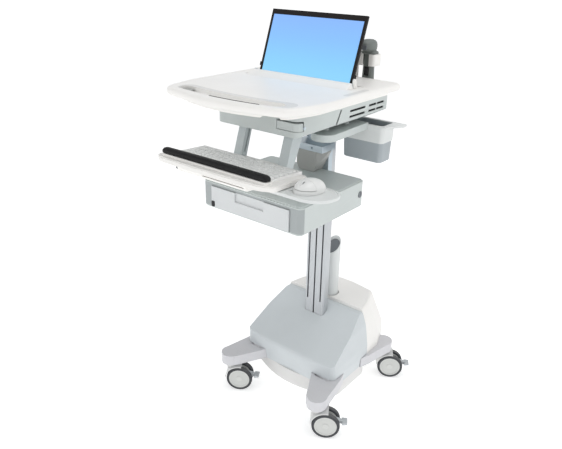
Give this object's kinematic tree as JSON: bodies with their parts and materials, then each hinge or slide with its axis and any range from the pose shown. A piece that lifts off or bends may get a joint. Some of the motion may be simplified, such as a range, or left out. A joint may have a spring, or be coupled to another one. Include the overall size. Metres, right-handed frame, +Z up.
{
  "type": "laptop cart",
  "caption": "Height-adjustable hospital computing cart with a laptop worksurface, tilting keyboard tray, side mouse tray, drawer, bin and hand scanner on braked swivel casters",
  "frame": {"origin": "on the floor under the middle of the cart's bounding box", "axes": "X to the user's right, Y from the user towards the back, Z up; the user stands at -Y"},
  "size_m": [0.61, 0.8318, 1.3965],
  "materials": {
    "leg_paint": "satin powder coat",
    "steel": "brushed, lightly worn",
    "white_shell": "fine moulded texture",
    "grey_shell": "fine moulded texture",
    "black_plastic": "moulded, slightly textured",
    "module_metal": "finned, as cast",
    "white_trim": "smooth moulded",
    "keycap_plastic": "fine grain, worn tops",
    "column_aluminium": "extruded, anodised",
    "dark_trim": "moulded, textured",
    "tyre": "dusty tread",
    "strut_paint": "satin paint",
    "bin_plastic": "smooth moulded",
    "palm_pad": "foam-filled vinyl skin, fine grain",
    "laptop_shell": "soft-touch",
    "display": "lit anti-glare screen",
    "scanner_shell": "moulded with rubbed corners"
  },
  "bodies": {
    "base": {"base_frame": "leg_paint", "caster_stems": "steel", "lower_tub": "white_shell", "front_cover": "grey_shell", "rear_cover": "white_shell", "battery": "black_plastic", "power_module": "module_metal", "power_inlet": "black_plastic", "cord_tube": "white_trim", "column": "column_aluminium", "column_foot": "column_aluminium", "foot_bolts": "steel", "column_cap": "dark_trim", "lift_rod": "steel"},
    "head": {"carriage": "steel", "lift_tube": "black_plastic", "neck_cover": "dark_trim", "drawer_housing": "grey_shell", "drawer_rails": "steel", "struts": "strut_paint", "compartment": "grey_shell", "worksurface": "white_shell", "bin_arm": "grey_shell", "bin": "bin_plastic", "scanner_bracket": "white_shell", "laptop_base": "laptop_shell"},
    "rocker": {"power_switch": "black_plastic"},
    "drawer": {"drawer_tray": "white_trim", "drawer_front": "white_shell"},
    "latch": {"drawer_latch": "black_plastic"},
    "lock": {"side_lock": "dark_trim"},
    "lever": {"lift_lever": "dark_trim"},
    "keyboard_unit": {"keyboard_tray": "white_shell", "palm_rest": "palm_pad", "keyboard": "white_trim"},
    "keys": {"keycaps": "keycap_plastic"},
    "knob": {"tilt_knob": "dark_trim"},
    "mouse_shelf": {"mouse_tray": "white_shell"},
    "mouse": {"mouse_body": "white_trim"},
    "mouse_keys": {"mouse_button": "white_trim"},
    "lid": {"laptop_lid": "laptop_shell", "laptop_display": "display"},
    "scanner_unit": {"scanner": "scanner_shell"},
    "trigger": {"scanner_trigger": "black_plastic"},
    "caster_fl": {"caster_fl": "leg_paint"},
    "wheel_fl": {"tyres_fl": "tyre", "hubs_fl": "white_trim"},
    "brake_fl": {"pedal_fl": "dark_trim"},
    "caster_fr": {"caster_fr": "leg_paint"},
    "wheel_fr": {"tyres_fr": "tyre", "hubs_fr": "white_trim"},
    "brake_fr": {"pedal_fr": "dark_trim"},
    "caster_rl": {"caster_rl": "leg_paint"},
    "wheel_rl": {"tyres_rl": "tyre", "hubs_rl": "white_trim"},
    "brake_rl": {"pedal_rl": "dark_trim"},
    "caster_rr": {"caster_rr": "leg_paint"},
    "wheel_rr": {"tyres_rr": "tyre", "hubs_rr": "white_trim"},
    "brake_rr": {"pedal_rr": "dark_trim"}
  },
  "joints": [
    {"name": "caster_swivel_fl", "type": "hinge", "parent": "base", "child": "caster_fl", "pos_m": [-0.251, -0.11109, 0.105], "axis": [0, 0, 1], "continuous": true},
    {"name": "wheel_spin_fl", "type": "hinge", "parent": "caster_fl", "child": "wheel_fl", "pos_m": [-0.22148, -0.09228, 0.05], "axis": [-0.5373, 0.8434, 0], "continuous": true},
    {"name": "brake_pedal_fl", "type": "hinge", "parent": "caster_fl", "child": "brake_fl", "pos_m": [-0.19871, -0.07777, 0.064], "axis": [-0.5373, 0.8434, 0], "range_deg": [0, 8]},
    {"name": "caster_swivel_fr", "type": "hinge", "parent": "base", "child": "caster_fr", "pos_m": [0.157, -0.11109, 0.105], "axis": [0, 0, 1], "continuous": true},
    {"name": "wheel_spin_fr", "type": "hinge", "parent": "caster_fr", "child": "wheel_fr", "pos_m": [0.18652, -0.09228, 0.05], "axis": [-0.5373, 0.8434, 0], "continuous": true},
    {"name": "brake_pedal_fr", "type": "hinge", "parent": "caster_fr", "child": "brake_fr", "pos_m": [0.20929, -0.07777, 0.064], "axis": [-0.5373, 0.8434, 0], "range_deg": [0, 8]},
    {"name": "caster_swivel_rl", "type": "hinge", "parent": "base", "child": "caster_rl", "pos_m": [-0.251, 0.33691, 0.105], "axis": [0, 0, 1], "continuous": true},
    {"name": "wheel_spin_rl", "type": "hinge", "parent": "caster_rl", "child": "wheel_rl", "pos_m": [-0.22148, 0.35572, 0.05], "axis": [-0.5373, 0.8434, 0], "continuous": true},
    {"name": "brake_pedal_rl", "type": "hinge", "parent": "caster_rl", "child": "brake_rl", "pos_m": [-0.19871, 0.37023, 0.064], "axis": [-0.5373, 0.8434, 0], "range_deg": [0, 8]},
    {"name": "caster_swivel_rr", "type": "hinge", "parent": "base", "child": "caster_rr", "pos_m": [0.157, 0.33691, 0.105], "axis": [0, 0, 1], "continuous": true},
    {"name": "wheel_spin_rr", "type": "hinge", "parent": "caster_rr", "child": "wheel_rr", "pos_m": [0.18652, 0.35572, 0.05], "axis": [-0.5373, 0.8434, 0], "continuous": true},
    {"name": "brake_pedal_rr", "type": "hinge", "parent": "caster_rr", "child": "brake_rr", "pos_m": [0.20929, 0.37023, 0.064], "axis": [-0.5373, 0.8434, 0], "range_deg": [0, 8]},
    {"name": "head_lift", "type": "slide", "parent": "base", "child": "head", "axis": [0, 0, 1], "range_m": [-0.4, 0.02]},
    {"name": "power_rocker", "type": "hinge", "parent": "base", "child": "rocker", "pos_m": [-0.027, 0.40291, 0.202], "axis": [1, 0, 0], "range_deg": [-3, 3]},
    {"name": "drawer_slide", "type": "slide", "parent": "head", "child": "drawer", "axis": [0, -1, 0], "range_m": [0, 0.24]},
    {"name": "latch_push", "type": "slide", "parent": "drawer", "child": "latch", "axis": [0, 1, 0], "range_m": [0, 0.002], "stiffness_N_per_m": 600, "springref_m": -0.001},
    {"name": "lock_turn", "type": "hinge", "parent": "head", "child": "lock", "pos_m": [0.151, 0.08591, 0.847], "axis": [1, 0, 0], "range_deg": [0, 90]},
    {"name": "lift_lever_pull", "type": "hinge", "parent": "head", "child": "lever", "pos_m": [0.073, -0.17909, 1.11], "axis": [-1, 0, 0], "range_deg": [0, 8], "stiffness_Nm_per_rad": 1.5, "springref_deg": -5.73},
    {"name": "tray_tilt", "type": "hinge", "parent": "head", "child": "keyboard_unit", "pos_m": [-0.047, -0.17509, 0.972], "axis": [1, 0, 0], "range_deg": [-7, 12]},
    {"name": "tilt_knob_turn", "type": "hinge", "parent": "keyboard_unit", "child": "knob", "pos_m": [-0.187, -0.38092, 0.98193], "axis": [1, 0, 0], "continuous": true},
    {"name": "keys_press", "type": "slide", "parent": "keyboard_unit", "child": "keys", "axis": [0, -0.0872, -0.9962], "range_m": [0, 0.002], "stiffness_N_per_m": 900, "springref_m": -0.0015},
    {"name": "mouse_shelf_slide", "type": "slide", "parent": "keyboard_unit", "child": "mouse_shelf", "axis": [1, 0, 0], "range_m": [-0.006, 0.05]},
    {"name": "mouse_move", "type": "slide", "parent": "mouse_shelf", "child": "mouse", "axis": [0, 0.9962, -0.0872], "range_m": [-0.02, 0.004]},
    {"name": "mouse_click", "type": "hinge", "parent": "mouse", "child": "mouse_keys", "pos_m": [0.218, -0.30156, 0.99406], "axis": [1, 0, 0], "range_deg": [0, 1.2], "stiffness_Nm_per_rad": 0.2, "springref_deg": -2.86},
    {"name": "lid_hinge", "type": "hinge", "parent": "head", "child": "lid", "pos_m": [-0.047, 0.01891, 1.184], "axis": [-1, 0, 0], "range_deg": [-12, 8]},
    {"name": "scanner_lift", "type": "slide", "parent": "head", "child": "scanner_unit", "axis": [0, 0, 1], "range_m": [0, 0.06]},
    {"name": "trigger_pull", "type": "slide", "parent": "scanner_unit", "child": "trigger", "axis": [0, 1, 0], "range_m": [0, 0.0018], "stiffness_N_per_m": 500, "springref_m": -0.001}
  ]
}
